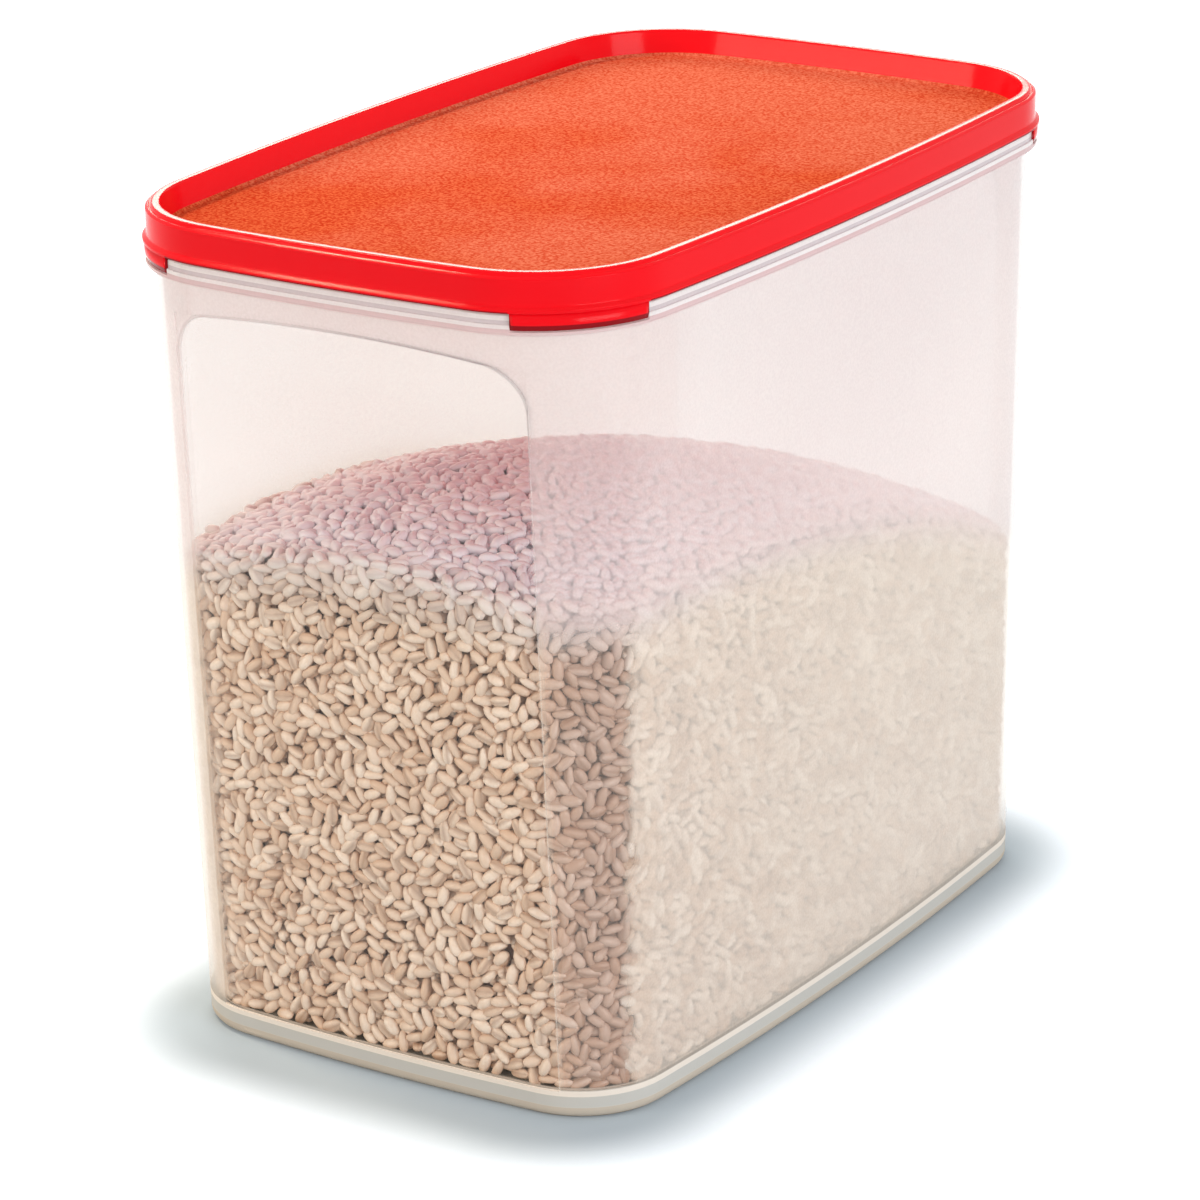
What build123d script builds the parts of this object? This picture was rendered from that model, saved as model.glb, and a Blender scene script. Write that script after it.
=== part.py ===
from build123d import *
import os
from math import atan2, cos, degrees, hypot, pi, sin, sqrt

# A tall rectangular food container: a translucent tub with bowed, slightly drafted walls, a press-on lid whose
# panel is sunk inside a raised rim, and the grain that the tub holds. Millimetres. The origin is the middle of the
# base, +Z is up, the long sides run along Y, and the narrow end with the front window faces -Y.

# Overall
TOTAL_HEIGHT = 235.0
LID_LENGTH = 265.0
LID_WIDTH = 165.0
CORNER_RADIUS = 39.5
# Sagitta of the outward bow of each long side and of each narrow end
SIDE_BOW = 6.1
END_BOW = 4.3

# Insets are measured inward from the outline of the lid's lip, the widest line of the container.
# Tub walls
WALL = 1.5
WALL_INSET = 3.0
BASE_INSET = 6.3
BASE_SHORTER = 14.8
BASE_CORNER_LOSS = 7.5
RIM_Z = 232.2
FLOOR_Z = 6.5
FLOOR = 2.5
FOOT_ROUND = 2.7
FOOT_RING = 6.0
CAVITY_ROUND = 3.0

# Flange under the lid's skirt: a continuous ledge, with two steps above it on the straight sides
LEDGE_BOTTOM_Z = 219.2
LEDGE_Z = 220.0
LEDGE_INSET = 0.6
STEP_Z = 221.9
STEP_INSET = 1.1
FLANGE_TOP_Z = 224.2
FLANGE_SLOPE = 0.8

# Lid
SKIRT_Z = 224.5
SKIRT_INNER = 2.6
SKIRT_INSET = 0.7
LIP_LOW_Z = 225.3
LIP_HIGH_Z = 225.8
FLARE_Z = 226.5
BAND_INSET = 1.1
SHOULDER_Z = 234.0
RIM_OUTER = 1.6
RIM_INNER = 5.4
RECESS_TOP = 5.75
RECESS_FOOT = 5.95
PANEL_Z = 227.5
PANEL = 1.5
PANEL_JOIN = 12.0
PLUG_OUTER = 4.85
PLUG_FOOT = 5.15

# Lift tabs at the corners, and the notches in the flange that they drop into
TAB_Z = 220.35
TAB_X = 54.0
TAB_Y = 101.5
TAB_ROOT_Z = 225.0
TAB_INSET = 0.45
TAB_UNDERCUT = 1.5
NOTCH_CLEARANCE = 0.35

# Corner radii of the flange's and the lid's sections
FINE_ROUND = 0.25
EDGE_ROUND = 0.45
RIM_OUTER_ROUND = 0.6
RIM_INNER_ROUND = 1.2
RECESS_TOP_ROUND = 1.5
RECESS_FOOT_ROUND = 2.7
PLUG_ROUND = 3.0

# Windows in the narrow ends
WINDOW_HALF_WIDTH = 55.3
WINDOW_TOP_Z = 212.2
WINDOW_SHOULDER_Z = 208.8
WINDOW_BOTTOM_Z = 8.0
WINDOW_ROUND = 12.0
WINDOW_DEPTH = 0.5

# Grain heap: a low dome, off centre towards the front
HEAP_TOP_Z = 152.5
HEAP_X = 8.0
HEAP_Y = -70.0
HEAP_RADIUS_X = 235.0
HEAP_RADIUS_Y = 400.0
GRAIN_CLEARANCE = 0.3
GRAIN_ROUND = 4.0

# Longer than the container, for cutting shapes
REACH = 300.0


def bowed_arcs(length, width, corner_radius):
    """The eight tangent arcs of a bowed rectangle, anticlockwise: (centre x, centre y, radius, start, end)."""
    side_radius = ((length / 2) ** 2 + SIDE_BOW**2) / (2 * SIDE_BOW)
    end_radius = ((width / 2) ** 2 + END_BOW**2) / (2 * END_BOW)
    side_x = width / 2 - side_radius
    end_y = length / 2 - end_radius
    # The corner's centre is as far from each big arc's centre as that arc's radius less its own.
    gap = hypot(side_x, end_y)
    from_side = side_radius - corner_radius
    from_end = end_radius - corner_radius
    along = (from_side**2 - from_end**2 + gap**2) / (2 * gap)
    across = sqrt(from_side**2 - along**2)
    ux, uy = -side_x / gap, end_y / gap
    corner_x = side_x + along * ux - across * uy
    corner_y = along * uy + across * ux
    side_angle = atan2(corner_y, corner_x - side_x)
    end_angle = atan2(corner_y - end_y, corner_x)
    half = [
        (side_x, 0, side_radius, -side_angle, side_angle),
        (corner_x, corner_y, corner_radius, side_angle, end_angle),
        (0, end_y, end_radius, end_angle, pi - end_angle),
        (-corner_x, corner_y, corner_radius, pi - end_angle, pi - side_angle),
    ]
    return half + [(-x, -y, radius, start + pi, end + pi) for x, y, radius, start, end in half]


def outline(arcs, inset, z):
    """Closed wire of the arcs, moved inward by inset, at height z."""
    return Wire(
        [
            CenterArc((x, y, z), radius - inset, degrees(start), degrees(end - start))
            for x, y, radius, start, end in arcs
        ]
    )


def tub_outline(z, inset=0.0):
    """The tub's outer outline at height z, moved inward by inset: it tapers evenly from the rim to the base."""
    drop = 1 - z / RIM_Z
    arcs = bowed_arcs(LID_LENGTH - BASE_SHORTER * drop, LID_WIDTH, CORNER_RADIUS - BASE_CORNER_LOSS * drop)
    return outline(arcs, WALL_INSET + (BASE_INSET - WALL_INSET) * drop + inset, z)


def tub_loft(low_z, high_z, inset=0.0):
    """Solid inside the tub's outer surface, moved inward by inset, from low_z to high_z."""
    return Solid.make_loft([tub_outline(low_z, inset), tub_outline(high_z, inset)], ruled=True)


def plate(arcs, inset, low_z, high_z):
    """Upright solid inside the arcs' outline."""
    return extrude(Face(outline(arcs, inset, low_z)), high_z - low_z, dir=(0, 0, 1))


def section(corners):
    """Closed face through (inset, z, corner radius) points, with the inset along -X and z along Y."""
    points = [(-inset, z) for inset, z, _ in corners]
    radii = [radius for _, _, radius in corners]
    return make_face(FilletPolyline(*points, radius=radii, close=True))


def ring(arcs, corners):
    """The section carried round the whole outline, one revolved piece for each arc."""
    face = section(corners)
    pieces = []
    for x, y, radius, start, end in arcs:
        radial = Plane(origin=(x, y, 0), x_dir=(cos(start), sin(start), 0), z_dir=(sin(start), -cos(start), 0))
        placed = radial * Pos(radius, 0) * face
        pieces.append(revolve(placed, Axis((x, y, 0), (0, 0, 1)), degrees(end - start)))
    return pieces[0].fuse(*pieces[1:])


def corner_blocks(clearance, low_z):
    """Four blocks that hold the corners of the plan above low_z, where the tabs and the notches are."""
    x = TAB_X - clearance + REACH / 2
    y = TAB_Y - clearance + REACH / 2
    block = Box(REACH, REACH, REACH)
    return [Pos(sx * x, sy * y, low_z + REACH / 2) * block for sx in (-1, 1) for sy in (-1, 1)]


def bottom_edges(solid):
    """Edges that lie in the solid's lowest plane."""
    low = solid.bounding_box().min.Z
    return [edge for edge in solid.edges() if abs(edge.bounding_box().max.Z - low) < 0.01]


def window_prism():
    """Arched window outline, through both narrow ends."""
    top = WINDOW_TOP_Z
    shoulder = WINDOW_SHOULDER_Z
    with BuildSketch(Plane.XZ) as sketch:
        with BuildLine():
            Line((-WINDOW_HALF_WIDTH, WINDOW_BOTTOM_Z), (WINDOW_HALF_WIDTH, WINDOW_BOTTOM_Z))
            Line((WINDOW_HALF_WIDTH, WINDOW_BOTTOM_Z), (WINDOW_HALF_WIDTH, shoulder))
            ThreePointArc((WINDOW_HALF_WIDTH, shoulder), (0, top), (-WINDOW_HALF_WIDTH, shoulder))
            Line((-WINDOW_HALF_WIDTH, shoulder), (-WINDOW_HALF_WIDTH, WINDOW_BOTTOM_Z))
        make_face()
        upper = [v for v in sketch.vertices() if v.Z > shoulder - 1]
        fillet(upper, WINDOW_ROUND)
    return extrude(sketch.sketch, REACH, both=True)


def make_tub(lid_arcs):
    body = fillet(bottom_edges(tub_loft(0, RIM_Z)), FOOT_ROUND)
    root = WALL_INSET + WALL / 2
    ledge = ring(
        lid_arcs,
        [
            (root, LEDGE_BOTTOM_Z - FLANGE_SLOPE, 0),
            (WALL_INSET, LEDGE_BOTTOM_Z - FLANGE_SLOPE, 0),
            (LEDGE_INSET, LEDGE_BOTTOM_Z, FINE_ROUND),
            (LEDGE_INSET, LEDGE_Z, FINE_ROUND),
            (root, LEDGE_Z, 0),
        ],
    )
    steps = ring(
        lid_arcs,
        [
            (root, LEDGE_BOTTOM_Z, 0),
            (LEDGE_INSET, LEDGE_BOTTOM_Z, 0),
            (LEDGE_INSET, STEP_Z, FINE_ROUND),
            (STEP_INSET, STEP_Z, 0),
            (STEP_INSET, FLANGE_TOP_Z, FINE_ROUND),
            (root, FLANGE_TOP_Z, 0),
        ],
    )
    for notch in corner_blocks(NOTCH_CLEARANCE, LEDGE_Z):
        steps -= notch
    cavity = fillet(bottom_edges(tub_loft(FLOOR_Z, RIM_Z, WALL)), CAVITY_ROUND)
    pocket = tub_loft(0, FLOOR_Z - FLOOR, FOOT_RING + FOOT_ROUND)
    skin = tub_loft(0, RIM_Z) - tub_loft(0, RIM_Z, WINDOW_DEPTH)
    windows = skin & window_prism()
    return (body + ledge + steps) - cavity - pocket - windows


def make_lid(lid_arcs):
    rim = ring(
        lid_arcs,
        [
            (SKIRT_INNER, SKIRT_Z, FINE_ROUND),
            (SKIRT_INSET, SKIRT_Z, FINE_ROUND),
            (0, LIP_LOW_Z, FINE_ROUND),
            (0, LIP_HIGH_Z, FINE_ROUND),
            (BAND_INSET, FLARE_Z, EDGE_ROUND),
            (BAND_INSET, SHOULDER_Z, FINE_ROUND),
            (RIM_OUTER, SHOULDER_Z, 0),
            (RIM_OUTER, TOTAL_HEIGHT, RIM_OUTER_ROUND),
            (RIM_INNER, TOTAL_HEIGHT, RIM_INNER_ROUND),
            (RECESS_TOP, RIM_Z, RECESS_TOP_ROUND),
            (RECESS_FOOT, PANEL_Z, RECESS_FOOT_ROUND),
            (PANEL_JOIN, PANEL_Z, 0),
            (PANEL_JOIN, PANEL_Z - PANEL, 0),
            (PLUG_FOOT, PANEL_Z - PANEL, PLUG_ROUND),
            (PLUG_OUTER, RIM_Z, FINE_ROUND),
            (SKIRT_INNER, RIM_Z, FINE_ROUND),
        ],
    )
    tab_ring = ring(
        lid_arcs,
        [
            (SKIRT_INNER, TAB_ROOT_Z, 0),
            (TAB_INSET, TAB_ROOT_Z, 0),
            (TAB_INSET, TAB_Z, TAB_UNDERCUT),
            (SKIRT_INNER, TAB_Z, FINE_ROUND),
        ],
    )
    tabs = [tab_ring & block for block in corner_blocks(0, 0)]
    panel = plate(lid_arcs, PANEL_JOIN, PANEL_Z - PANEL, PANEL_Z)
    return rim + panel + tabs


def make_wheat():
    grain = tub_loft(FLOOR_Z, RIM_Z, WALL + GRAIN_CLEARANCE)
    grain = fillet(bottom_edges(grain), GRAIN_ROUND)
    # The dome is an arc across the tub, swung about an axis far below it.
    axis_z = HEAP_TOP_Z - HEAP_RADIUS_Y
    low_x, high_x = HEAP_X - LID_WIDTH, HEAP_X + LID_WIDTH
    edge_z = HEAP_TOP_Z - HEAP_RADIUS_X + sqrt(HEAP_RADIUS_X**2 - LID_WIDTH**2)
    with BuildSketch(Plane.XZ.offset(-HEAP_Y)) as profile:
        with BuildLine():
            ThreePointArc((low_x, edge_z), (HEAP_X, HEAP_TOP_Z), (high_x, edge_z))
            Line((high_x, edge_z), (high_x, axis_z))
            Line((high_x, axis_z), (low_x, axis_z))
            Line((low_x, axis_z), (low_x, edge_z))
        make_face()
    dome = revolve(profile.sketch, Axis((0, HEAP_Y, axis_z), (1, 0, 0)), 360)
    return grain & dome


def main():
    lid_arcs = bowed_arcs(LID_LENGTH, LID_WIDTH, CORNER_RADIUS)
    os.makedirs("parts", exist_ok=True)
    parts = {"tub": make_tub(lid_arcs), "lid": make_lid(lid_arcs), "wheat_fill": make_wheat()}
    for name, part in parts.items():
        solids = part.solids()
        export_step(solids[0] if len(solids) == 1 else Compound(solids), f"parts/{name}.step")
        print(name, "solids", len(solids), "volume cm3", round(sum(s.volume for s in solids) / 1000, 1))


main()
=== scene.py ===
from math import atan2, cos, hypot, pi, radians, sin, sqrt

import bpy
import numpy as np
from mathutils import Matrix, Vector


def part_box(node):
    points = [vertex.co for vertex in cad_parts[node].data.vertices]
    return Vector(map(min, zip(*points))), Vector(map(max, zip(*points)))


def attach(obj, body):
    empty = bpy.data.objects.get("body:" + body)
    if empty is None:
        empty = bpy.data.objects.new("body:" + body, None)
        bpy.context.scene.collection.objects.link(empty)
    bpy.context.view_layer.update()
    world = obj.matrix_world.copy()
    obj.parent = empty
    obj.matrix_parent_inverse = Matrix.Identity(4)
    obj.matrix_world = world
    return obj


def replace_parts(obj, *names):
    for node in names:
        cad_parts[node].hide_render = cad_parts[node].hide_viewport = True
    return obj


# A tall rectangular food container with a red press-on lid, part filled with wheat. Sizes are in millimetres,
# in the part's own frame: the origin is the middle of the base, +Z is up and the front window faces -Y. MM
# turns them to metres.
MM = 0.001
SEED = 7

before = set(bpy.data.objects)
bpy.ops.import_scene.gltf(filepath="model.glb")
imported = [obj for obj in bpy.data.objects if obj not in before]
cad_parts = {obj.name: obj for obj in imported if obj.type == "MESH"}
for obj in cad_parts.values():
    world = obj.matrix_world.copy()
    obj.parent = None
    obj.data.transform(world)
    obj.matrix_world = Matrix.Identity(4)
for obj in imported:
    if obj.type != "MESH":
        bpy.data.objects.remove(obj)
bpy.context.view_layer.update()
lid_low, lid_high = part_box("lid")
tub_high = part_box("tub")[1]
wheat_low, wheat_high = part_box("wheat_fill")

# Plan outline of the lid's lip, and the taper of the tub below it
LENGTH = (lid_high.y - lid_low.y) / MM
WIDTH = (lid_high.x - lid_low.x) / MM
TOP_Z = lid_high.z / MM
RIM_Z = tub_high.z / MM
CORNER_RADIUS = 39.5
SIDE_BOW = 6.1
END_BOW = 4.3
WALL = 1.5
WALL_INSET = 3.0
BASE_INSET = 6.3
BASE_SHORTER = 14.8
BASE_CORNER_LOSS = 7.5
FLOOR_Z = wheat_low.z / MM
CAVITY_ROUND = 3.0
PANEL_Z = 227.5

# Lid section, outside inward: insets from the lip's outline, and heights
SKIRT_Z = 224.5
SKIRT_INNER = 2.8
SKIRT_INSET = 2.0
LIP_LOW_Z = 224.9
LIP_SHADE_Z = 225.35
LIP_HIGH_Z = 225.75
FLARE_Z = 226.5
BAND_INSET = 1.1
SHOULDER_Z = 234.1
SHOULDER_DROP = 0.6
SHOULDER_INSET = 1.9
GROOVE_INSET = 2.3
GROOVE_Z = 233.7
CREST_OUTER = 2.8
CREST_INNER = 4.9
RECESS_TOP = 5.1
RECESS_FOOT = 6.5
PANEL = 1.5
PANEL_JOIN = 12.0
PLUG_OUTER = 4.85
PLUG_FOOT = 5.15
TAB_Z = 220.35
TAB_ROOT_Z = 225.0
TAB_X = 54.0
TAB_Y = 101.5
TAB_INSET = 0.45
TAB_UNDERCUT = 1.5

# Share of light that each face of the tub's wall scatters. What lies against the wall shows best through it,
# so the wall is hazier above the wheat.
SIDE_FROST = 0.40
SIDE_FROST_FRONT = 0.31
SIDE_FROST_HIGH = 0.46
CORNER_FROST = 0.05
CORNER_FROST_HIGH = 0.31
LEFT_CORNER_FROST = 0.42
FOOT_FROST = 0.85
RIM_FROST = 0.55
FROST_EDGE_Y = 104.0

# Window in each narrow end, and how clear the near and the far one are
WINDOW_HALF_WIDTH = 55.3
WINDOW_TOP_Z = 212.2
WINDOW_SHOULDER_Z = 208.8
WINDOW_BOTTOM_Z = 8.0
WINDOW_ROUND = 12.0
NEAR_WINDOW_CLEAR = 0.95
FAR_WINDOW_CLEAR = 0.4

# Heap of wheat: a low dome, off centre towards the front
HEAP_TOP_Z = wheat_high.z / MM
HEAP_X = 8.0
HEAP_Y = -70.0
HEAP_RADIUS_X = 235.0
HEAP_RADIUS_Y = 400.0

# Wheat kernels: their size, its spread, their gap to the wall, the lowest one's height over the floor, and
# how far their layers are apart and run past the seams between the pieces
GRAIN_LENGTH = 6.2
GRAIN_WIDTH = 3.4
GRAIN_THICKNESS = 3.1
GRAIN_SPREAD = 0.09
GRAIN_CLEARANCE = 0.35
GRAIN_FOOT = 1.1
GRAIN_LAYERS = 3
LAYER_DEPTH = 1.5
SEAM = 1.1
# Where the kernels over the heap are split in two pieces
SPLIT_Y = -20.0

# How far the shadow shows on the paper, partly painted as darker paper round the container, and how far that
# reach is moved towards the front
SHADOW_REACH = 22.0
SHADOW_SHIFT = 5.0

# Camera, solved from the photograph
CAMERA_PLACE = (0.7013, -1.0716, 0.5537)
CAMERA_TURN = (70.52, 1.055, 33.033)
CAMERA_LENS = 143.73


# Plan outlines


def bowed_arcs(length, width, corner_radius):
    """The eight tangent arcs of a bowed rectangle, anticlockwise, as (centre x, y, radius, start, end)."""
    side_radius = ((length / 2) ** 2 + SIDE_BOW**2) / (2 * SIDE_BOW)
    end_radius = ((width / 2) ** 2 + END_BOW**2) / (2 * END_BOW)
    side_x = width / 2 - side_radius
    end_y = length / 2 - end_radius
    gap = hypot(side_x, end_y)
    from_side = side_radius - corner_radius
    from_end = end_radius - corner_radius
    along = (from_side**2 - from_end**2 + gap**2) / (2 * gap)
    across = sqrt(from_side**2 - along**2)
    ux, uy = -side_x / gap, end_y / gap
    corner_x = side_x + along * ux - across * uy
    corner_y = along * uy + across * ux
    side_angle = atan2(corner_y, corner_x - side_x)
    end_angle = atan2(corner_y - end_y, corner_x)
    half = [
        (side_x, 0, side_radius, -side_angle, side_angle),
        (corner_x, corner_y, corner_radius, side_angle, end_angle),
        (0, end_y, end_radius, end_angle, pi - end_angle),
        (-corner_x, corner_y, corner_radius, pi - end_angle, pi - side_angle),
    ]
    return half + [(-x, -y, radius, start + pi, end + pi) for x, y, radius, start, end in half]


def tub_arcs(z):
    """The tub's arcs at height z, and their inset to its outer surface."""
    drop = 1 - z / RIM_Z
    arcs = bowed_arcs(LENGTH - BASE_SHORTER * drop, WIDTH, CORNER_RADIUS - BASE_CORNER_LOSS * drop)
    return arcs, WALL_INSET + (BASE_INSET - WALL_INSET) * drop


def inside_tub(x, y, z, inset):
    """Distance inward from the tub's outer surface at height z, less inset, for arrays of points."""
    arcs, tub_inset = tub_arcs(z)
    side_x, _, side_radius = arcs[0][:3]
    corner_x, corner_y, corner_radius = arcs[1][:3]
    _, end_y, end_radius = arcs[2][:3]
    x, y = np.abs(x), np.abs(y)
    side = side_radius - np.hypot(x - side_x, y)
    end = end_radius - np.hypot(x, y - end_y)
    corner = corner_radius - np.hypot(x - corner_x, y - corner_y)
    in_corner = (x > corner_x) & (y > corner_y)
    return np.where(in_corner, corner, np.minimum(side, end)) - tub_inset - inset


# Segments of each arc of the plan, in their order: long side, corner, narrow end, corner
ARC_STEPS = (28, 18, 20, 18) * 2
STATIONS = [(arc, step / steps) for arc, steps in enumerate(ARC_STEPS) for step in range(steps)]


def ring_points(arcs, inset, z, stations=STATIONS):
    """Points round the arcs' outline, moved inward by inset, at height z."""
    points = []
    for arc, share in stations:
        x, y, radius, start, end = arcs[arc]
        angle = start + (end - start) * share
        points.append((x + (radius - inset) * cos(angle), y + (radius - inset) * sin(angle), z))
    return points


def rounded(corners, closed):
    """(inset, z) points of a section whose (inset, z, radius) corners are rounded."""
    points = []
    count = len(corners)
    for i, (inset, z, radius) in enumerate(corners):
        if radius == 0 or (not closed and i in (0, count - 1)):
            points.append((inset, z))
            continue
        here = np.array((inset, z))
        to_last = np.array(corners[i - 1][:2]) - here
        to_next = np.array(corners[(i + 1) % count][:2]) - here
        last_length, next_length = np.linalg.norm(to_last), np.linalg.norm(to_next)
        to_last, to_next = to_last / last_length, to_next / next_length
        half = np.arccos(np.clip(to_last @ to_next, -1, 1)) / 2
        reach = min(radius / np.tan(half), 0.49 * last_length, 0.49 * next_length)
        start, end = here + to_last * reach, here + to_next * reach
        steps = 8 if radius > 0.5 else 5
        for step in range(steps + 1):
            s = step / steps
            # A quadratic curve is close enough to an arc at this size.
            points.append(tuple((1 - s) ** 2 * start + 2 * s * (1 - s) * here + s**2 * end))
    return points


def join_rings(count, size):
    """Quads between rings of the same size, whose points follow each other in order."""
    faces = []
    for i in range(count - 1):
        low, high = i * size, (i + 1) * size
        for k in range(size):
            after = (k + 1) % size
            faces.append((low + k, low + after, high + after, high + k))
    return faces


def cap(points, faces, ring, steps, flip):
    """Closes a ring with smaller rings about its middle, at the same height."""
    size = len(ring)
    low = points.index(ring[0])
    z = ring[0][2]
    for step in range(1, steps):
        share = 1 - step / steps
        high = len(points)
        points += [(x * share, y * share, z) for x, y, _ in ring]
        for k in range(size):
            after = (k + 1) % size
            quad = (low + k, low + after, high + after, high + k)
            faces.append(quad[::-1] if flip else quad)
        low = high
    middle = len(points)
    points.append((0.0, 0.0, z))
    for k in range(size):
        corner = (low + k, low + (k + 1) % size, middle)
        faces.append(corner[::-1] if flip else corner)


# Scene pieces and node helpers


def mesh_piece(name, points, faces, body, material):
    """A smooth mesh object from points in millimetres that rides on a body."""
    mesh = bpy.data.meshes.new(name)
    mesh.from_pydata([tuple(p) for p in np.asarray(points) * MM], [], faces)
    mesh.shade_smooth()
    mesh.materials.append(material)
    piece = bpy.data.objects.new(name, mesh)
    bpy.context.scene.collection.objects.link(piece)
    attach(piece, body)
    return piece


def srgb(red, green, blue):
    """Linear colour from 0-255 screen values."""
    linear = []
    for value in (red, green, blue):
        value /= 255
        linear.append(value / 12.92 if value <= 0.04045 else ((value + 0.055) / 1.055) ** 2.4)
    return (*linear, 1.0)


class Nodes:
    """Short names for building a material's node tree."""

    def __init__(self, name):
        self.material = bpy.data.materials.new(name)
        self.material.use_nodes = True
        self.tree = self.material.node_tree
        self.tree.nodes.clear()
        self.output = self.tree.nodes.new("ShaderNodeOutputMaterial")

    def add(self, kind, inputs=None, **settings):
        node = self.tree.nodes.new("ShaderNode" + kind)
        for key, value in settings.items():
            setattr(node, key, value)
        for key, value in (inputs or {}).items():
            self.put(node.inputs[key], value)
        return node

    def put(self, socket, value):
        if isinstance(value, bpy.types.NodeSocket):
            self.tree.links.new(value, socket)
        else:
            socket.default_value = value

    def math(self, operation, *values, clamp=False):
        node = self.add("Math", operation=operation, use_clamp=clamp)
        for socket, value in zip(node.inputs, values):
            self.put(socket, value)
        return node.outputs[0]

    def length(self, a, b):
        """Length of the vector whose parts are a and b."""
        squares = self.math("ADD", self.math("MULTIPLY", a, a), self.math("MULTIPLY", b, b))
        return self.math("SQRT", squares)

    def ease(self, value, low, high, out_low=0.0, out_high=1.0):
        """Smooth step of value from low to high."""
        node = self.add("MapRange", interpolation_type="SMOOTHSTEP")
        for socket, number in zip(node.inputs, (value, low, high, out_low, out_high)):
            self.put(socket, number)
        return node.outputs[0]

    def mix(self, factor, a, b):
        node = self.add("Mix", data_type="RGBA")
        self.put(node.inputs[0], factor)
        self.put(node.inputs[6], a)
        self.put(node.inputs[7], b)
        return node.outputs[2]

    def ramp(self, value, stops, colour):
        """Colour that changes to each stop's (low, high, shade) within its range of value."""
        for low, high, shade in stops:
            over = self.ease(value, low - 0.1, low + 0.1)
            under = self.ease(value, high - 0.1, high + 0.1, 1.0, 0.0)
            colour = self.mix(self.math("MULTIPLY", over, under), colour, shade)
        return colour

    def noise(self, scale, detail=2.0, rough=0.5):
        """Noise in the part's own frame, with scale in cells per metre."""
        place = self.add("TexCoord").outputs["Object"]
        settings = {"Vector": place, "Scale": scale, "Detail": detail, "Roughness": rough}
        return self.add("TexNoise", settings).outputs[0]

    def bump(self, height, strength):
        return self.add("Bump", {"Strength": strength, "Distance": 0.0002, "Height": height}).outputs[0]

    def principled(self, colour, plain, rough, specular, bump):
        """A surface of a patterned colour; plain is the single colour nearest to it."""
        settings = {"Base Color": plain, "Roughness": rough, "Specular IOR Level": specular}
        body = self.add("BsdfPrincipled", settings)
        self.put(body.inputs["Base Color"], colour)
        self.put(body.inputs["Normal"], bump)
        return body.outputs[0]

    def place_mm(self):
        """x, y and z in millimetres."""
        place = self.add("TexCoord").outputs["Object"]
        parts = self.add("SeparateXYZ", {"Vector": place}).outputs
        return [self.math("MULTIPLY", part, 1 / MM) for part in parts]

    def finish(self, surface):
        self.tree.links.new(surface, self.output.inputs["Surface"])
        return self.material


# Materials

# Bands by height, painted light and shade: the foot darker towards its bottom edge as painted shade, then on
# the flange a painted rosy cast of light from the lid and a pale grey groove of painted shade between edges
# painted white as highlights
EDGE_LIGHT_AND_SHADE = (
    (-1.0, 0.7, srgb(158, 146, 128)),
    (0.7, 3.4, srgb(214, 202, 186)),
    (3.4, 6.6, srgb(214, 212, 206)),
    (219.0, 220.8, srgb(232, 204, 205)),
    (220.8, 221.8, srgb(255, 253, 252)),
    (221.8, 222.9, srgb(226, 220, 223)),
    (222.9, 224.6, srgb(255, 253, 252)),
)


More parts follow.
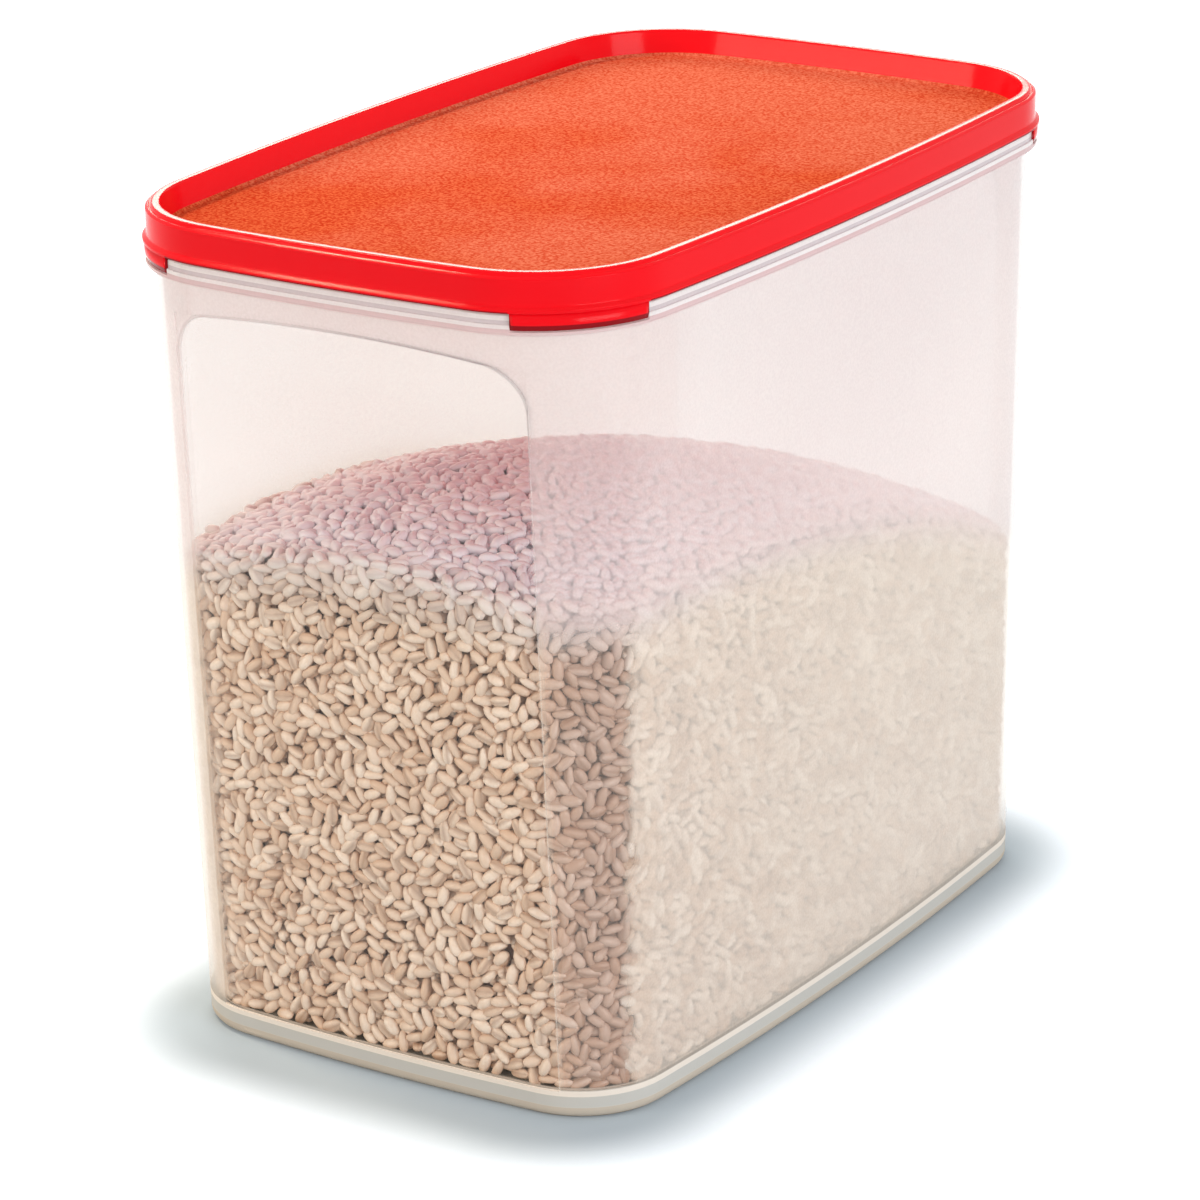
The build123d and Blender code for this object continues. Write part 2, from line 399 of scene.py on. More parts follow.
def tub_material():
    """Milky polypropylene, polished clear inside the arched windows and clearer at the right-hand corners."""
    n = Nodes("tub_plastic")
    x, y, z = n.place_mm()
    width = n.math("ABSOLUTE", x)
    length = n.math("ABSOLUTE", y)
    # Height of the arch over x, with its ends rounded down to the sides
    fall = (WINDOW_TOP_Z - WINDOW_SHOULDER_Z) / WINDOW_HALF_WIDTH**2
    arch = n.math("SUBTRACT", WINDOW_TOP_Z, n.math("MULTIPLY", n.math("MULTIPLY", x, x), fall))
    past_x = n.math("MAXIMUM", n.math("SUBTRACT", width, WINDOW_HALF_WIDTH - WINDOW_ROUND), 0.0)
    past_z = n.math("MAXIMUM", n.math("SUBTRACT", n.math("ADD", z, WINDOW_ROUND), arch), 0.0)
    past = n.length(past_x, past_z)
    in_window = n.ease(past, WINDOW_ROUND - 0.35, WINDOW_ROUND + 0.35, 1.0, 0.0)
    at_end = n.ease(length, 95.0, 100.0)
    above_foot = n.ease(z, WINDOW_BOTTOM_Z, WINDOW_BOTTOM_Z + 0.8)
    window = n.math("MULTIPLY", n.math("MULTIPLY", in_window, at_end), above_foot)
    # The step round the window shows as a thin line of more frost. Along the arch it also gets a painted
    # shadow, darker towards the right.
    beside = n.math("ABSOLUTE", n.math("SUBTRACT", past, WINDOW_ROUND))
    line = n.math("MULTIPLY", n.ease(beside, 0.15, 0.8, 1.0, 0.0), n.math("MULTIPLY", at_end, above_foot))
    arch_line = n.math("MULTIPLY", line, n.ease(z, 180.0, 205.0))
    # As far up as the heap the right-hand corners are nearly clear, and the frost beside them ends in a fray.
    frayed = n.math("MULTIPLY_ADD", n.noise(220.0, 1.0), 10.0, n.math("SUBTRACT", length, 5.0))
    corner = n.ease(frayed, FROST_EDGE_Y - 3.0, FROST_EDGE_Y + 2.0)
    from_top = n.math("POWER", n.math("SUBTRACT", y, HEAP_Y), 2.0)
    over_heap = n.math("MULTIPLY_ADD", from_top, 0.5 / HEAP_RADIUS_Y, z)
    above = n.ease(over_heap, HEAP_TOP_Z - 22.0, HEAP_TOP_Z - 8.0)
    side = n.ease(y, -FROST_EDGE_Y, 20.0, SIDE_FROST_FRONT, SIDE_FROST)
    side = n.math("MULTIPLY_ADD", above, SIDE_FROST_HIGH - SIDE_FROST, side)
    at_corner = n.ease(x, -50.0, -45.0, LEFT_CORNER_FROST, CORNER_FROST)
    at_corner = n.math("MAXIMUM", at_corner, n.math("MULTIPLY", above, CORNER_FROST_HIGH))
    frost = n.math("ADD", side, n.math("MULTIPLY", corner, n.math("SUBTRACT", at_corner, side)))
    cloud = n.math("MULTIPLY_ADD", n.noise(26.0, 3.0), 0.16, 0.92)
    speck = n.noise(1400.0, 2.0)
    cloud = n.math("MULTIPLY", cloud, n.ease(speck, 0.3, 0.7, 0.95, 1.05))
    frost = n.math("MULTIPLY", frost, cloud)
    foot = n.ease(z, WINDOW_BOTTOM_Z, WINDOW_BOTTOM_Z + 0.8, FOOT_FROST, 0.0)
    rim = n.ease(z, 218.8, 220.0, 0.0, RIM_FROST)
    frost = n.math("MAXIMUM", n.math("ADD", frost, rim), foot)
    # The far window reads less clear than the near one.
    clear = n.math("MULTIPLY", window, n.ease(y, -20.0, 20.0, NEAR_WINDOW_CLEAR, FAR_WINDOW_CLEAR))
    frost = n.math("MULTIPLY", frost, n.math("SUBTRACT", 1.0, clear), clamp=True)
    frost = n.math("MAXIMUM", frost, n.math("MULTIPLY", line, n.ease(z, 180.0, 205.0, 0.2, 0.4)))
    bump = n.bump(speck, 0.12)
    # The wall is painted warm cream as far up as the heap, standing in for the wheat's light scattered
    # through the frost.
    colour = n.mix(above, srgb(255, 244, 232), srgb(241, 235, 234))
    # Painted light and shade in bands: the foot's lower edge, and the flange's highlights, groove and rosy
    # cast.
    colour = n.ramp(z, EDGE_LIGHT_AND_SHADE, colour)
    # Painted shadow under the step along the arch.
    arch_painted_shadow = n.math("MULTIPLY", arch_line, n.ease(x, -30.0, 45.0, 0.25, 0.95))
    colour = n.mix(arch_painted_shadow, colour, srgb(146, 140, 144))
    tinge = n.mix(above, (0.94, 0.92, 0.912, 1.0), (0.962, 0.95, 0.945, 1.0))
    clear_tinge = n.mix(above, (0.972, 0.97, 0.963, 1.0), (0.94, 0.945, 0.942, 1.0))
    tinge = n.mix(clear, tinge, clear_tinge)
    see_through = n.add("BsdfTransparent", {"Color": tinge}).outputs[0]
    milk = n.add("BsdfDiffuse", {"Color": colour, "Normal": bump}).outputs[0]
    glow = n.add("BsdfTranslucent", {"Color": colour, "Normal": bump}).outputs[0]
    through = n.math("MULTIPLY_ADD", above, 0.3, 0.12)
    haze = n.add("MixShader", {0: through, 1: milk, 2: glow}).outputs[0]
    body = n.add("MixShader", {0: frost, 1: see_through, 2: haze}).outputs[0]
    # The same reflection on both faces of the wall, a little at first and more at a low angle
    facing = n.add("LayerWeight", {"Blend": 0.5}).outputs["Facing"]
    sheen = n.math("MULTIPLY_ADD", n.math("POWER", facing, 4.0), 0.5, 0.014)
    sheen = n.math("MULTIPLY", sheen, n.ease(z, 8.0, 13.0))
    gloss = n.add("BsdfGlossy", {"Color": (1, 1, 1, 1), "Roughness": 0.16, "Normal": bump}).outputs[0]
    surface = n.add("MixShader", {0: sheen, 1: body, 2: gloss}).outputs[0]
    return n.finish(surface)


def lid_material():
    """Soft red polyethylene, half glossy, with painted shade that darkens it under the lip and under the
    tabs.
    """
    n = Nodes("lid_plastic")
    red = n.mix(n.noise(30.0, 3.0), srgb(228, 8, 20), srgb(236, 14, 27))
    x, y, z = n.place_mm()
    past_x = n.ease(n.math("ABSOLUTE", x), TAB_X - 0.3, TAB_X + 0.3)
    past_y = n.ease(n.math("ABSOLUTE", y), TAB_Y - 0.3, TAB_Y + 0.3)
    on_tab = n.math("MULTIPLY", past_x, past_y)
    # Painted shade: the red is darkened below the lip's middle and on the lower part of each tab.
    shade_z = n.math("MULTIPLY_ADD", on_tab, TAB_Z + TAB_UNDERCUT - LIP_SHADE_Z, LIP_SHADE_Z)
    shaded = n.ease(n.math("SUBTRACT", z, shade_z), -0.2, 0.1, 1.0, 0.0)
    red = n.mix(shaded, red, srgb(140, 8, 18))
    return n.finish(n.principled(red, srgb(232, 11, 24), 0.14, 0.08, n.bump(n.noise(700.0), 0.06)))


def panel_material():
    """The lid's sunk panel: the same red plastic, stippled, its sheen painted in as a mottled orange."""
    n = Nodes("lid_panel")
    stipple = n.noise(1100.0, 3.0, 0.6)
    _, y, _ = n.place_mm()
    # Painted sheen: the orange stands for white light scattered off the stippled red, in lighter and darker
    # patches, lighter towards the back.
    patch = n.ease(n.math("MULTIPLY_ADD", y, 0.0007, n.noise(14.0, 3.0)), 0.38, 0.62)
    dark = n.mix(patch, srgb(188, 54, 28), srgb(198, 74, 48))
    light = n.mix(patch, srgb(216, 100, 62), srgb(221, 122, 94))
    orange = n.mix(n.ease(stipple, 0.36, 0.64), dark, light)
    return n.finish(n.principled(orange, srgb(222, 84, 44), 0.65, 0.0, n.bump(stipple, 0.6)))


def wheat_material():
    """Tan wheat skin, each kernel with its own shade and a darker crease.

    The kernels on top of the heap are painted a pale lilac, standing in for the light through the red lid.
    Behind the frosted walls they are painted paler, for the light the frost scatters over them, and in the
    right-hand corners darker, as painted shade.
    """
    n = Nodes("wheat")
    tint = n.add("Attribute", attribute_name="tint").outputs["Fac"]
    crease = n.add("Attribute", attribute_name="crease").outputs["Fac"]
    rosy = n.add("Attribute", attribute_name="rosy").outputs["Fac"]
    pale = n.add("Attribute", attribute_name="pale").outputs["Fac"]
    colour = n.mix(tint, srgb(225, 192, 166), srgb(253, 235, 219))
    colour = n.mix(n.ease(n.noise(900.0), 0.35, 0.75, 0.0, 0.35), colour, srgb(230, 198, 168))
    painted_pale = n.mix(tint, srgb(214, 188, 164), srgb(255, 253, 246))
    # Painted light: kernels behind the frosted walls are paler, for the light the frost scatters over them.
    colour = n.mix(n.math("MULTIPLY", n.math("MAXIMUM", pale, 0.0), 0.9), colour, painted_pale)
    # Painted shade: kernels in the clear right-hand corners are darker.
    colour = n.mix(n.math("MAXIMUM", n.math("MULTIPLY", pale, -0.4), 0.0), colour, srgb(140, 100, 92))
    # Painted shade in each crease; the tips are darker too.
    colour = n.mix(n.math("MULTIPLY", crease, 0.5), colour, srgb(140, 96, 66))
    # Painted light: a pale lilac on top of the heap, for the light through the red lid.
    colour = n.mix(n.math("MULTIPLY", rosy, 0.95), colour, srgb(254, 248, 255))
    return n.finish(n.principled(colour, srgb(232, 206, 178), 0.36, 0.5, n.bump(n.noise(2500.0), 0.2)))


def core_material():
    """Shade between the kernels."""
    n = Nodes("wheat_core")
    colour = n.mix(n.noise(300.0), srgb(112, 78, 60), srgb(144, 106, 84))
    return n.finish(n.principled(colour, srgb(128, 92, 72), 0.9, 0.5, n.bump(n.noise(600.0), 0.1)))


# Lid


def make_lid():
    """The lid as one swept section with a crowned rim and a sunk panel, and a lift tab under each corner."""
    arcs = bowed_arcs(LENGTH, WIDTH, CORNER_RADIUS)
    section = rounded(
        [
            (PANEL_JOIN, PANEL_Z - PANEL, 0),
            (PLUG_FOOT, PANEL_Z - PANEL, 3.0),
            (PLUG_OUTER, RIM_Z, 0.25),
            (SKIRT_INNER, RIM_Z, 0.25),
            (SKIRT_INNER, SKIRT_Z, 0.2),
            (SKIRT_INSET, SKIRT_Z, 0.15),
            (SKIRT_INSET, LIP_LOW_Z, 0.1),
            (0, LIP_LOW_Z, 0.15),
            (0, LIP_HIGH_Z, 0.2),
            (BAND_INSET, FLARE_Z, 0.6),
            (BAND_INSET, SHOULDER_Z - SHOULDER_DROP, 0.25),
            (SHOULDER_INSET, SHOULDER_Z, 0.2),
            (GROOVE_INSET, GROOVE_Z, 0.15),
            (CREST_OUTER, TOP_Z, 1.2),
            (CREST_INNER, TOP_Z, 0.35),
            (RECESS_TOP, TOP_Z - 0.6, 0.3),
            (RECESS_FOOT, PANEL_Z + 0.7, 0.5),
            (RECESS_FOOT + 0.7, PANEL_Z, 0.6),
            (PANEL_JOIN, PANEL_Z, 0),
        ],
        closed=False,
    )
    rings = [ring_points(arcs, inset, z) for inset, z in section]
    points = [point for ring in rings for point in ring]
    faces = join_rings(len(rings), len(STATIONS))
    cap(points, faces, rings[0], 10, flip=True)
    cap(points, faces, rings[-1], 10, flip=False)
    tab = rounded(
        [
            (SKIRT_INNER, TAB_ROOT_Z, 0),
            (TAB_INSET, TAB_ROOT_Z, 0),
            (TAB_INSET, TAB_Z + TAB_UNDERCUT, 0.8),
            (TAB_INSET + 0.5, TAB_Z, 0.3),
            (SKIRT_INNER, TAB_Z, 0.3),
        ],
        closed=True,
    )
    for corner in (1, 3, 5, 7):
        add_tab(points, faces, arcs, tab, corner)
    piece = mesh_piece("lid_shell", points, faces, "lid", lid_material())
    piece.data.materials.append(panel_material())
    for face in piece.data.polygons:
        if face.normal.z > 0.3 and -0.1 < face.center.z / MM - PANEL_Z < 1.0:
            face.material_index = 1
    return piece


def add_tab(points, faces, arcs, tab, corner):
    """One tab round a corner arc, from TAB_X on the narrow end to TAB_Y on the long side."""
    x, y, radius, start, end = arcs[corner]
    near_side = np.arcsin((TAB_Y - abs(y)) / radius)
    near_end = np.arccos((TAB_X - abs(x)) / radius)
    # Corners 1 and 5 run from a long side to a narrow end, and 3 and 7 the other way round.
    first, last = (near_side, near_end) if corner in (1, 5) else (pi / 2 - near_end, pi / 2 - near_side)
    turn = (corner - 1) // 2 * pi / 2
    shares = [(turn + first + (last - first) * step / 30 - start) / (end - start) for step in range(31)]
    base = len(points)
    for share in shares:
        for inset, z in tab:
            points += ring_points(arcs, inset, z, [(corner, share)])
    size = len(tab)
    for i in range(len(shares) - 1):
        low, high = base + i * size, base + (i + 1) * size
        for k in range(size):
            after = (k + 1) % size
            faces.append((low + k, high + k, high + after, low + after))
    faces.append(tuple(base + k for k in range(size)))
    final = base + (len(shares) - 1) * size
    faces.append(tuple(final + size - 1 - k for k in range(size)))


# Wheat

# Kernels are packed on a raster of this step, each tested a little smaller than it is, in so many directions
RASTER = 0.25
TEST_SCALE = 0.8
ANGLES = 36


def footprints():
    """Pixel offsets that a kernel covers, seen from above, for each turn of half a circle."""
    reach = int(GRAIN_LENGTH / RASTER)
    v, u = np.mgrid[-reach : reach + 1, -reach : reach + 1] * RASTER
    prints = []
    for k in range(ANGLES):
        a = pi * k / ANGLES
        along = (u * cos(a) + v * sin(a)) / (GRAIN_LENGTH / 2 * TEST_SCALE)
        across = (v * cos(a) - u * sin(a)) / (GRAIN_WIDTH / 2 * TEST_SCALE)
        rows, columns = np.nonzero(along**2 + across**2 < 1)
        prints.append((rows - reach, columns - reach))
    return prints


def pack_layer(allowed, prints, rng, layer):
    """Random kernels that hardly overlap, settled from the low rows up: rows of (u, v, angle) in millimetres.

    The deeper layers, which only fill gaps, take fewer rounds.
    """
    rounds = 10 - 3 * layer
    taken = ~allowed
    reach = int(GRAIN_LENGTH / RASTER)
    taken = np.pad(taken, reach, constant_values=True)
    placed = []
    for _ in range(rounds):
        rows, columns = np.nonzero(~taken)
        picks = np.sort(rng.permutation(len(rows))[: max(200, len(rows) // 12)])
        turns = rng.integers(0, ANGLES, len(picks))
        for row, column, turn in zip(rows[picks], columns[picks], turns):
            down, right = prints[turn]
            if taken[row + down, column + right].any():
                continue
            taken[row + down, column + right] = True
            placed.append((column - reach, row - reach, turn))
    found = np.array(placed, float)
    found[:, :2] *= RASTER
    found[:, 2] *= pi / ANGLES
    return found


def kernel_shape(sides, stations):
    """One kernel of half sizes 1: (points, quads and triangles, crease value of each point)."""
    points = [(-1.0, 0.0, 0.05)]
    crease = [0.3]
    for t in stations:
        girth = sqrt(1 - abs(t) ** 2.6) * (1 - 0.08 * t)
        for k in range(sides):
            a = 2 * pi * k / sides - pi / 2
            groove = 0.22 * girth if k == 0 else 0.0
            points.append((t, girth * cos(a), girth * sin(a) + groove))
            crease.append(1.0 if k == 0 else 0.0)
    points.append((1.0, 0.0, 0.05))
    crease.append(0.6)
    faces = [(0, 1 + (k + 1) % sides, 1 + k) for k in range(sides)]
    for ring in range(len(stations) - 1):
        low = 1 + ring * sides
        for k in range(sides):
            after = (k + 1) % sides
            faces.append((low + k, low + after, low + sides + after, low + sides + k))
    last = len(points) - 1
    low = last - sides
    faces += [(last, low + k, low + (k + 1) % sides) for k in range(sides)]
    return np.array(points), faces, np.array(crease)


FINE_KERNEL = kernel_shape(8, (-0.88, -0.5, 0.0, 0.5, 0.88))
PLAIN_KERNEL = kernel_shape(6, (-0.8, 0.0, 0.8))


def unit(vectors):
    return vectors / np.linalg.norm(vectors, axis=1, keepdims=True)


def kernel_points(shape, crease, centres, axes, normals, rosy, pale, rng):
    """Points and point values of kernels whose long directions are axes; normals point out of the heap."""
    count = len(centres)
    long_axis = unit(axes)
    across = unit(np.cross(normals, long_axis))
    up = np.cross(long_axis, across)
    roll = rng.uniform(0, 2 * pi, (count, 1))
    side = across * np.cos(roll) + up * np.sin(roll)
    top = up * np.cos(roll) - across * np.sin(roll)
    half = np.array([GRAIN_LENGTH, GRAIN_WIDTH, GRAIN_THICKNESS]) / 2
    sizes = half * np.clip(rng.normal(1, GRAIN_SPREAD, (count, 3)), 0.8, 1.2)
    basis = np.stack([long_axis * sizes[:, :1], side * sizes[:, 1:2], top * sizes[:, 2:]], axis=1)
    points = (centres[:, None, :] + np.einsum("pk,nkc->npc", shape, basis)) * MM
    values = {
        "tint": np.repeat(rng.uniform(0, 1, count), len(shape)),
        "crease": np.tile(crease, count),
        "rosy": np.repeat(rosy, len(shape)),
        "pale": np.repeat(pale, len(shape)),
    }
    return points.reshape(-1, 3), values


def kernels_mesh(name, layers, rng, material):
    """A piece of many kernels from layers of (centres, axes, normals, rosy, pale), the outermost first."""
    points, values, loops, sizes = [], [], [], []
    used = 0
    for depth, (centres, axes, normals, rosy, pale) in enumerate(layers):
        shape, faces, crease = PLAIN_KERNEL if depth else FINE_KERNEL
        layer_points, layer_values = kernel_points(shape, crease, centres, axes, normals, rosy, pale, rng)
        offsets = used + np.arange(len(centres))[:, None] * len(shape)
        loops.append((np.concatenate([list(face) for face in faces])[None, :] + offsets).reshape(-1))
        sizes.append(np.tile([len(face) for face in faces], len(centres)))
        points.append(layer_points)
        values.append(layer_values)
        used += len(layer_points)
    points, loops, sizes = np.concatenate(points), np.concatenate(loops), np.concatenate(sizes)
    mesh = bpy.data.meshes.new(name)
    mesh.vertices.add(len(points))
    mesh.vertices.foreach_set("co", points.reshape(-1))
    mesh.loops.add(len(loops))
    mesh.loops.foreach_set("vertex_index", loops)
    mesh.polygons.add(len(sizes))
    mesh.polygons.foreach_set("loop_start", np.cumsum(sizes) - sizes)
    mesh.update(calc_edges=True)
    mesh.shade_smooth()
    for key in ("tint", "crease", "rosy", "pale"):
        shares = np.concatenate([layer[key] for layer in values])
        attribute = mesh.attributes.new(key, "FLOAT", "POINT")
        attribute.data.foreach_set("value", shares.astype(np.float32))
    mesh.materials.append(material)
    piece = bpy.data.objects.new(name, mesh)
    bpy.context.scene.collection.objects.link(piece)
    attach(piece, "container")
    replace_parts(piece, "wheat_fill")
    return piece


def lean(count, layer, rng):
    """How far each kernel's long axis leans out of its layer, and its half depth when it does."""
    spread = 0.2 + 0.2 * layer
    tilt = np.where(rng.uniform(0, 1, count) < 0.8, rng.normal(0, spread, count), rng.normal(0, 0.7, count))
    tilt = np.clip(tilt, -1.2, 1.2)
    depth = np.hypot(GRAIN_LENGTH / 2 * np.sin(tilt), GRAIN_WIDTH / 2 * np.cos(tilt))
    return tilt[:, None], depth


def heap_height(x, y):
    """Height of the dome over x, y."""
    across = HEAP_RADIUS_Y - (HEAP_RADIUS_X - np.sqrt(HEAP_RADIUS_X**2 - (x - HEAP_X) ** 2))
    return HEAP_TOP_Z - HEAP_RADIUS_Y + np.sqrt(across**2 - (y - HEAP_Y) ** 2)


def wall_points(arc_index, share, z, inset):
    """Points on the tub's outer outline moved inward by inset, with their outward normals, for arrays."""
    count = len(share)
    places = np.zeros((count, 3))
    normals = np.zeros((count, 3))
    for i in range(count):
        arcs, tub_inset = tub_arcs(z[i])
        x, y, radius, start, end = arcs[arc_index]
        angle = start + (end - start) * share[i]
        normals[i] = (cos(angle), sin(angle), 0)
        reach = radius - tub_inset - inset[i]
        places[i] = (x + reach * cos(angle), y + reach * sin(angle), z[i])
    return places, normals


def wall_kernels(arc_index, prints, rng, material):
    """Layers of kernels against the wall behind one arc of the outline."""
    arcs, tub_inset = tub_arcs(80.0)
    radius, start, end = arcs[arc_index][2:]
    run = (end - start) * (radius - tub_inset - WALL)
    rows = int((HEAP_TOP_Z - FLOOR_Z) / RASTER)
    columns = int((run + 2 * SEAM) / RASTER)
    share = ((np.arange(columns) + 0.5) * RASTER - SEAM) / run
    mid, _ = wall_points(arc_index, share, np.full(columns, 80.0), np.full(columns, WALL))
    top = heap_height(mid[:, 0], mid[:, 1]) - GRAIN_WIDTH * 0.5
    heights = FLOOR_Z + (np.arange(rows) + 0.5) * RASTER
    allowed = (heights[:, None] < top[None, :]) & (heights[:, None] > FLOOR_Z + GRAIN_FOOT)
    layers = []
    for layer in range(GRAIN_LAYERS):
        found = pack_layer(allowed, prints, rng, layer)
        count = len(found)
        z = FLOOR_Z + found[:, 1]
        tilt, depth = lean(count, layer, rng)
        # The kernels keep clear of the round between wall and floor.
        foot = CAVITY_ROUND - np.sqrt(CAVITY_ROUND**2 - np.clip(CAVITY_ROUND - (z - FLOOR_Z), 0, None) ** 2)
        inset = WALL + GRAIN_CLEARANCE + depth + foot + rng.uniform(0.0, 0.5, count) + LAYER_DEPTH * layer
        places, normals = wall_points(arc_index, (found[:, 0] - SEAM) / run, z, inset)
        tangents = np.stack([-normals[:, 1], normals[:, 0], np.zeros(count)], axis=1)
        ups = np.tile((0.0, 0.0, 1.0), (count, 1))
        angle = found[:, 2:3]
        axes = (tangents * np.cos(angle) + ups * np.sin(angle)) * np.cos(tilt) + normals * np.sin(tilt)
        # Painted light: kernels near the top of the heap get the pale lilac of the light through the red lid.
        below = heap_height(places[:, 0], places[:, 1]) - places[:, 2]
        rosy = np.clip(0.62 - below / 30.0, 0, 1) ** 1.3
        # Kernels behind the frosted walls are painted paler, for the light the frost scatters over them; in
        # the clear right-hand corners they are painted darker, as shade.
        in_corner = np.clip((places[:, 0] - 46.0) / 16.0, 0, 1)
        behind_frost = np.clip((-places[:, 0] - 54.0) / 6.0, 0, 1)
        pale = np.where(np.abs(places[:, 1]) < FROST_EDGE_Y - 3.0, 1.0, behind_frost - in_corner)
        layers.append((places, axes, normals, rosy, pale))
    return kernels_mesh(f"wheat_wall_{arc_index + 1}", layers, rng, material)


def top_kernels(name, low_y, high_y, prints, rng, material):
    """Layers of kernels over the heap between two values of y."""
    half_width = WIDTH / 2
    columns = int(2 * half_width / RASTER)
    rows = int((high_y - low_y) / RASTER)
    x = -half_width + (np.arange(columns) + 0.5) * RASTER
    y = low_y + (np.arange(rows) + 0.5) * RASTER
    grid_x, grid_y = np.meshgrid(x, y)
    mean_z = float(heap_height(0.0, (low_y + high_y) / 2))
    allowed = inside_tub(grid_x, grid_y, mean_z, WALL + GRAIN_CLEARANCE + GRAIN_WIDTH * 0.6) > 0
    layers = []
    for layer in range(GRAIN_LAYERS):
        found = pack_layer(allowed, prints, rng, layer)
        count = len(found)
        px = found[:, 0] - half_width
        py = found[:, 1] + low_y
        step = 0.5
        slope_x = (heap_height(px + step, py) - heap_height(px - step, py)) / (2 * step)
        slope_y = (heap_height(px, py + step) - heap_height(px, py - step)) / (2 * step)
        normals = unit(np.stack([-slope_x, -slope_y, np.ones(count)], axis=1))
        tilt, depth = lean(count, layer, rng)
        depth = depth + rng.uniform(-0.8, 0.5, count) + LAYER_DEPTH * layer
        places = np.stack([px, py, heap_height(px, py)], axis=1) - normals * depth[:, None]
        angle = found[:, 2:3]
        along = np.cos(angle) * slope_x[:, None] + np.sin(angle) * slope_y[:, None]
        axes = unit(np.concatenate([np.cos(angle), np.sin(angle), along], axis=1))
        # Painted light: kernels away from the walls get more of the pale lilac of the light through the red
        # lid.
        from_wall = inside_tub(px, py, mean_z, WALL)
        rosy = np.clip(0.45 + from_wall / 26.0, 0, 1)
        layers.append((places, axes * np.cos(tilt) + normals * np.sin(tilt), normals, rosy, np.zeros(count)))
    return kernels_mesh(name, layers, rng, material)


def wheat_core(material):
    """A body inside the kernels, dark as painted shade, so that no gap shows through the heap."""
    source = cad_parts["wheat_fill"]
    mesh = source.data.copy()
    margin = 4.6 * MM
    middle = (wheat_low + wheat_high) / 2
    span = wheat_high - wheat_low
    for vertex in mesh.vertices:
        for axis in range(3):
            vertex.co[axis] = middle[axis] + (vertex.co[axis] - middle[axis]) * (1 - 2 * margin / span[axis])
    mesh.materials.clear()
    mesh.materials.append(material)
    piece = bpy.data.objects.new("wheat_core", mesh)
    bpy.context.scene.collection.objects.link(piece)
    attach(piece, "container")
    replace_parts(piece, "wheat_fill")
    return piece


def make_wheat():
    """Kernels behind each of the eight arcs of the wall and over the heap, round a dark core."""
    rng = np.random.default_rng(SEED)
    prints = footprints()
    material = wheat_material()
    for arc_index in range(8):
        wall_kernels(arc_index, prints, rng, material)
    top_kernels("wheat_top_front", -LENGTH / 2, SPLIT_Y + SEAM, prints, rng, material)
    top_kernels("wheat_top_back", SPLIT_Y - SEAM, LENGTH / 2, prints, rng, material)
    wheat_core(core_material())


# Floor, light and camera


def make_floor():
    """Paper that shows the shadow close to the container, partly painted, and that the camera sees as white
    beyond it.
    """
    n = Nodes("floor")
    rays = n.add("LightPath").outputs
    seen = n.math("MAXIMUM", rays["Is Camera Ray"], rays["Is Glossy Ray"])
    seen = n.math("MAXIMUM", seen, rays["Is Transmission Ray"])
    # To the camera the paper is lifted to white, but not close to the container, where its shadow shows.
    x, y, _ = n.place_mm()
    y = n.math("ADD", y, SHADOW_SHIFT)
    past_x = n.math("MAXIMUM", n.math("SUBTRACT", n.math("ABSOLUTE", x), WIDTH / 2 - CORNER_RADIUS), 0.0)
    past_y = n.math("MAXIMUM", n.math("SUBTRACT", n.math("ABSOLUTE", y), LENGTH / 2 - CORNER_RADIUS), 0.0)
    away = n.math("SUBTRACT", n.length(past_x, past_y), CORNER_RADIUS)
    paper = n.add("BsdfDiffuse", {"Color": (0.38, 0.45, 0.51, 1.0)}).outputs[0]
    # Painted shadow: close to the container the lift is low, so the paper there is darker even where lit.
    level = n.math("MULTIPLY", seen, n.ease(away, -8.0, SHADOW_REACH, 0.08, 0.78))
    lift = n.add("Emission", {"Color": (1.0, 1.0, 1.0, 1.0), "Strength": level}).outputs[0]
    material = n.finish(n.add("AddShader", {0: paper, 1: lift}).outputs[0])
    half = 6.0
    corners = [(-half, -half, 0), (half, -half, 0), (half, half, 0), (-half, half, 0)]
    mesh = bpy.data.meshes.new("floor")
    mesh.from_pydata(corners, [], [(0, 1, 2, 3)])
    mesh.materials.append(material)
    floor = bpy.data.objects.new("floor", mesh)
    bpy.context.scene.collection.objects.link(floor)


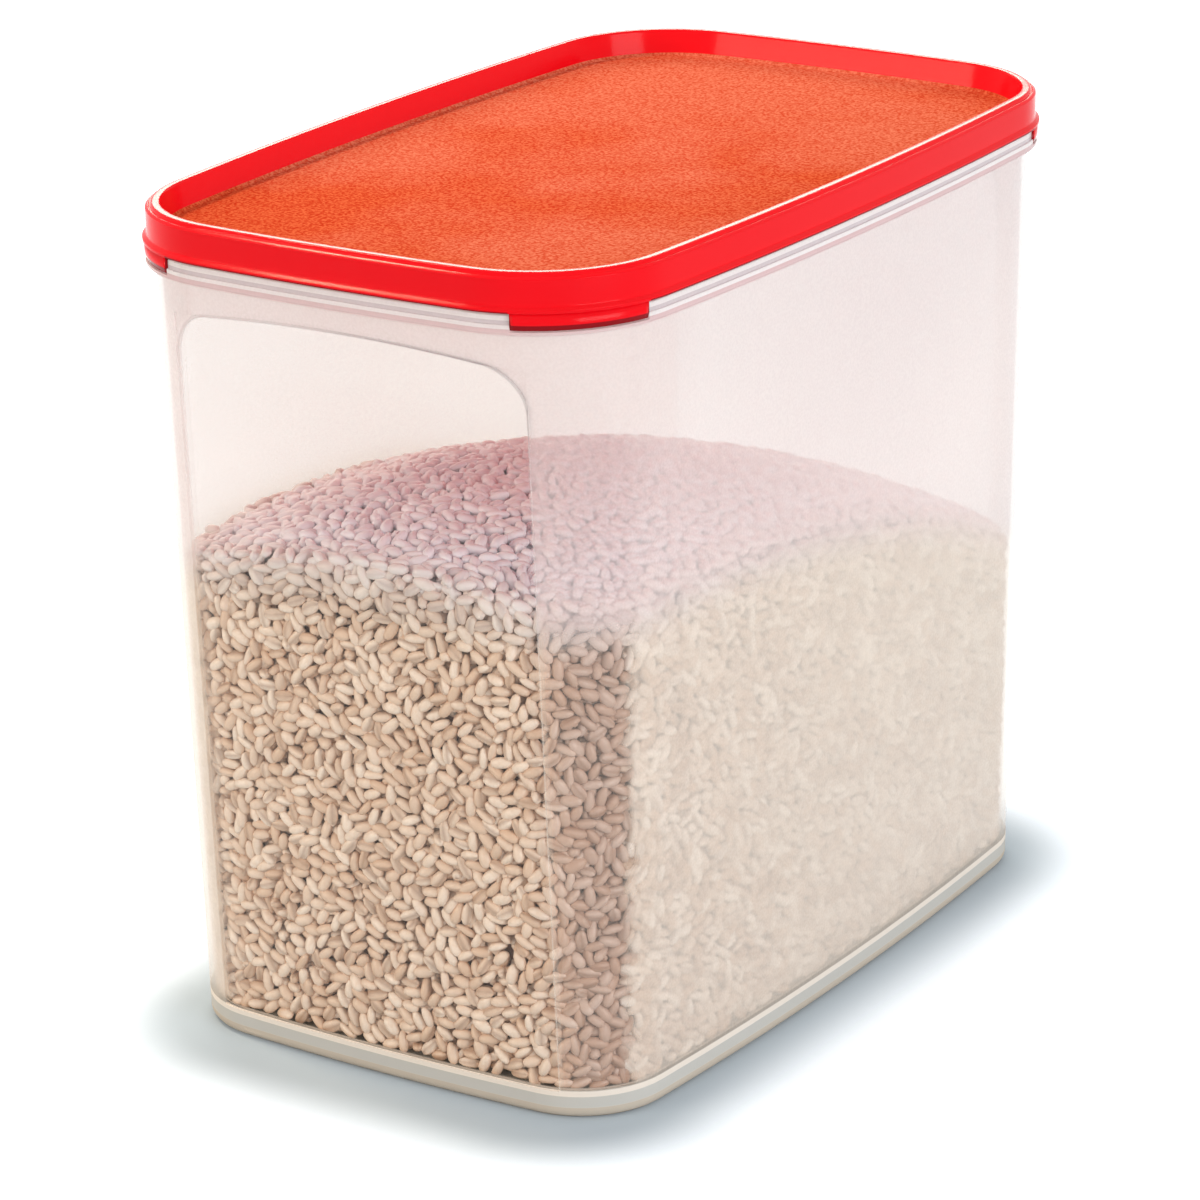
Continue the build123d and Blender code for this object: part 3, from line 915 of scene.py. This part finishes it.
def make_world():
    """Soft fill from all round. It shows as white to the camera, in reflections and through clear walls."""
    world = bpy.data.worlds.new("studio")
    bpy.context.scene.world = world
    world.use_nodes = True
    tree = world.node_tree
    tree.nodes.clear()
    rays = tree.nodes.new("ShaderNodeLightPath").outputs
    fill = tree.nodes.new("ShaderNodeBackground")
    fill.inputs["Color"].default_value = (1.0, 0.98, 0.96, 1.0)
    fill.inputs["Strength"].default_value = 0.60
    white = tree.nodes.new("ShaderNodeBackground")
    white.inputs["Color"].default_value = (1, 1, 1, 1)
    mix = tree.nodes.new("ShaderNodeMixShader")
    output = tree.nodes.new("ShaderNodeOutputWorld")
    seen = rays["Is Camera Ray"]
    for ray in ("Is Glossy Ray", "Is Transmission Ray"):
        either = tree.nodes.new("ShaderNodeMath")
        either.operation = "MAXIMUM"
        tree.links.new(seen, either.inputs[0])
        tree.links.new(rays[ray], either.inputs[1])
        seen = either.outputs[0]
    tree.links.new(seen, mix.inputs[0])
    tree.links.new(fill.outputs[0], mix.inputs[1])
    tree.links.new(white.outputs[0], mix.inputs[2])
    tree.links.new(mix.outputs[0], output.inputs["Surface"])


def area_light(name, place, target, size, energy, colour=(1, 1, 1)):
    """A rectangular lamp at place, in metres, that faces target."""
    data = bpy.data.lights.new(name, "AREA")
    data.shape = "RECTANGLE"
    data.size, data.size_y = size
    data.energy = energy
    data.color = colour
    light = bpy.data.objects.new(name, data)
    light.location = place
    light.rotation_euler = (Vector(target) - Vector(place)).to_track_quat("-Z", "Y").to_euler()
    bpy.context.scene.collection.objects.link(light)


def make_lights():
    middle = (0, 0, TOP_Z * MM / 2)
    area_light("overhead", (-0.78, -0.06, 1.4), middle, (0.2, 0.2), 10, (1.0, 0.8, 0.55))
    area_light("behind", (-1.0, 1.4, 1.0), middle, (1.4, 0.7), 25, (1.0, 0.93, 0.8))
    area_light("front_left", (-1.0, -1.4, 0.58), middle, (0.7, 0.55), 12, (1.0, 0.86, 0.7))
    area_light("right", (1.6, -0.5, 0.5), middle, (1.0, 0.8), 18.5)


def make_camera():
    data = bpy.data.cameras.new("camera")
    data.sensor_width = 36.0
    data.lens = CAMERA_LENS
    camera = bpy.data.objects.new("camera", data)
    camera.location = CAMERA_PLACE
    camera.rotation_euler = [radians(angle) for angle in CAMERA_TURN]
    bpy.context.scene.collection.objects.link(camera)
    bpy.context.scene.camera = camera


def dress(node, material):
    """Gives a CAD node its material."""
    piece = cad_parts[node]
    piece.data.materials.clear()
    piece.data.materials.append(material)


bpy.context.scene.view_settings.view_transform = "Standard"
make_camera()
make_world()
make_lights()
make_floor()
dress("tub", tub_material())
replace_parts(make_lid(), "lid")
make_wheat()
